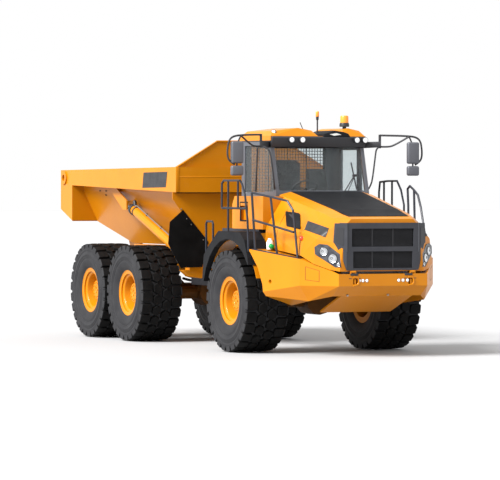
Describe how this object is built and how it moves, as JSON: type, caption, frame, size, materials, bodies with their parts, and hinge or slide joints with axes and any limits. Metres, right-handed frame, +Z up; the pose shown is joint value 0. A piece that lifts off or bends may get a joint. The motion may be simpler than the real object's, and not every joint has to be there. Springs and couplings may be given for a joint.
{
  "type": "articulated dump truck",
  "caption": "Articulated dump truck with a tilting hood, hinged cab door, steering and rolling hitch, walking-beam rear axles and a sloping-floor tipping bin on two rams.",
  "frame": {"origin": "on the ground under the middle of the overall length and width", "axes": "-Y is the truck's front, +X its left side, +Z up"},
  "size_m": [3.394, 9.946, 3.77],
  "materials": {
    "yellow_paint": "satin, lightly dusty amber yellow paint",
    "dark_paint": "satin dark grey paint",
    "black_paint": "satin black paint",
    "grey_plastic": "matte dark grey moulded plastic",
    "tyre_rubber": "matte black tyre rubber",
    "glass": "lightly tinted clear glass",
    "rod_chrome": "polished ram rod",
    "cast": "grey cast block",
    "alu": "finned aluminium core",
    "seat_fabric": "dark woven seat cloth",
    "orange_lens": "orange lens",
    "clear_lens": "clear lens"
  },
  "bodies": {
    "front_frame": {"beacon": "orange_lens", "bumper": "yellow_paint", "cab_base": "dark_paint", "cab_glass": "glass", "cab_guard": "black_paint", "cab_roof": "yellow_paint", "cab_shell": "dark_paint", "dash": "grey_plastic", "engine_block": "cast", "front_axle": "yellow_paint", "front_chassis": "yellow_paint", "handrails": "dark_paint", "mirrors": "black_paint", "mudguards": "grey_plastic", "radiator": "alu", "roof_fittings": "black_paint", "seats": "seat_fabric", "side_cowl": "yellow_paint", "side_skirts": "yellow_paint"},
    "bin": {"bin_flaps": "black_paint", "bin_floor": "yellow_paint", "bin_front": "yellow_paint", "bin_sides": "yellow_paint"},
    "door": {"door": "yellow_paint", "door_glass": "glass"},
    "hood": {"grille": "black_paint", "headlamps": "clear_lens", "hood_panel": "grey_plastic", "hood_shell": "yellow_paint", "hood_trim": "grey_plastic"},
    "rear_frame": {"propshaft": "dark_paint", "rear_axles": "yellow_paint", "rear_chassis": "yellow_paint", "walking_beams": "yellow_paint"},
    "wheel_front_left": {"rim_front_left": "yellow_paint", "tyre_front_left": "tyre_rubber"},
    "wheel_front_right": {"rim_front_right": "yellow_paint", "tyre_front_right": "tyre_rubber"},
    "wheel_middle_left": {"rim_middle_left": "yellow_paint", "tyre_middle_left": "tyre_rubber"},
    "wheel_middle_right": {"rim_middle_right": "yellow_paint", "tyre_middle_right": "tyre_rubber"},
    "wheel_rear_left": {"rim_rear_left": "yellow_paint", "tyre_rear_left": "tyre_rubber"},
    "wheel_rear_right": {"rim_rear_right": "yellow_paint", "tyre_rear_right": "tyre_rubber"},
    "steer_barrel_left": {"steer_barrel_left": "yellow_paint"},
    "steer_barrel_right": {"steer_barrel_right": "yellow_paint"},
    "steer_rod_left": {"steer_rod_left": "rod_chrome"},
    "steer_rod_right": {"steer_rod_right": "rod_chrome"},
    "tip_barrel_left": {"tip_barrel_left": "yellow_paint"},
    "tip_barrel_right": {"tip_barrel_right": "yellow_paint"},
    "tip_rod_left": {"tip_rod_left": "rod_chrome"},
    "tip_rod_right": {"tip_rod_right": "rod_chrome"},
    "hitch": {"yoke": "yellow_paint"}
  },
  "joints": [
    {"name": "steer", "type": "hinge", "parent": "front_frame", "child": "hitch", "pos_m": [0, -1.0575, 1.11], "axis": [0, 0, 1], "range_deg": [-45, 45]},
    {"name": "roll", "type": "hinge", "parent": "hitch", "child": "rear_frame", "pos_m": [0, -1.0575, 1.11], "axis": [0, 1, 0], "range_deg": [-15, 15]},
    {"name": "wheel_front_right_spin", "type": "hinge", "parent": "front_frame", "child": "wheel_front_right", "pos_m": [-1.145, -2.5075, 0.8], "axis": [1, 0, 0], "continuous": true},
    {"name": "wheel_front_left_spin", "type": "hinge", "parent": "front_frame", "child": "wheel_front_left", "pos_m": [1.145, -2.5075, 0.8], "axis": [1, 0, 0], "continuous": true},
    {"name": "wheel_middle_right_spin", "type": "hinge", "parent": "rear_frame", "child": "wheel_middle_right", "pos_m": [-1.145, 1.6735, 0.8], "axis": [1, 0, 0], "continuous": true},
    {"name": "wheel_middle_left_spin", "type": "hinge", "parent": "rear_frame", "child": "wheel_middle_left", "pos_m": [1.145, 1.6735, 0.8], "axis": [1, 0, 0], "continuous": true},
    {"name": "wheel_rear_right_spin", "type": "hinge", "parent": "rear_frame", "child": "wheel_rear_right", "pos_m": [-1.145, 3.3435, 0.8], "axis": [1, 0, 0], "continuous": true},
    {"name": "wheel_rear_left_spin", "type": "hinge", "parent": "rear_frame", "child": "wheel_rear_left", "pos_m": [1.145, 3.3435, 0.8], "axis": [1, 0, 0], "continuous": true},
    {"name": "hood_tilt", "type": "hinge", "parent": "front_frame", "child": "hood", "pos_m": [0, -4.9525, 1.3], "axis": [1, 0, 0], "range_deg": [0, 60]},
    {"name": "door_open", "type": "hinge", "parent": "front_frame", "child": "door", "pos_m": [0.819, -1.8075, 2.6], "axis": [0, 0, 1], "range_deg": [0, 50]},
    {"name": "bin_tip", "type": "hinge", "parent": "rear_frame", "child": "bin", "pos_m": [0, 3.9425, 1.35], "axis": [-1, 0, 0], "range_deg": [0, 70]},
    {"name": "tip_barrel_right_swing", "type": "hinge", "parent": "rear_frame", "child": "tip_barrel_right", "pos_m": [-1.12, 0.1125, 1.48], "axis": [1, 0, 0], "range_deg": [0, 3]},
    {"name": "tip_rod_right_slide", "type": "slide", "parent": "tip_barrel_right", "child": "tip_rod_right", "axis": [0, 0.9474, 0.32], "range_m": [0, 2.06]},
    {"name": "tip_barrel_left_swing", "type": "hinge", "parent": "rear_frame", "child": "tip_barrel_left", "pos_m": [1.12, 0.1125, 1.48], "axis": [1, 0, 0], "range_deg": [0, 3]},
    {"name": "tip_rod_left_slide", "type": "slide", "parent": "tip_barrel_left", "child": "tip_rod_left", "axis": [0, 0.9474, 0.32], "range_m": [0, 2.06]},
    {"name": "steer_barrel_right_swing", "type": "hinge", "parent": "front_frame", "child": "steer_barrel_right", "pos_m": [-0.37, -1.6975, 1.25], "axis": [0, 0, 1], "range_deg": [-11, 11]},
    {"name": "steer_rod_right_slide", "type": "slide", "parent": "steer_barrel_right", "child": "steer_rod_right", "axis": [0.1391, 0.9903, 0], "range_m": [-0.215, 0.215]},
    {"name": "steer_barrel_left_swing", "type": "hinge", "parent": "front_frame", "child": "steer_barrel_left", "pos_m": [0.37, -1.6975, 1.25], "axis": [0, 0, 1], "range_deg": [-11, 11]},
    {"name": "steer_rod_left_slide", "type": "slide", "parent": "steer_barrel_left", "child": "steer_rod_left", "axis": [-0.1391, 0.9903, 0], "range_m": [-0.215, 0.215]}
  ],
  "couplings": [
    {"joint": "tip_barrel_right_swing", "follows": "bin_tip", "ratio": 0.04079},
    {"joint": "tip_rod_right_slide", "follows": "bin_tip", "m_per_rad": 1.6776},
    {"joint": "tip_barrel_left_swing", "follows": "bin_tip", "ratio": 0.04079},
    {"joint": "tip_rod_left_slide", "follows": "bin_tip", "m_per_rad": 1.6776},
    {"joint": "steer_barrel_right_swing", "follows": "steer", "ratio": 0.24},
    {"joint": "steer_rod_right_slide", "follows": "steer", "m_per_rad": -0.272},
    {"joint": "steer_barrel_left_swing", "follows": "steer", "ratio": 0.24},
    {"joint": "steer_rod_left_slide", "follows": "steer", "m_per_rad": 0.272}
  ]
}
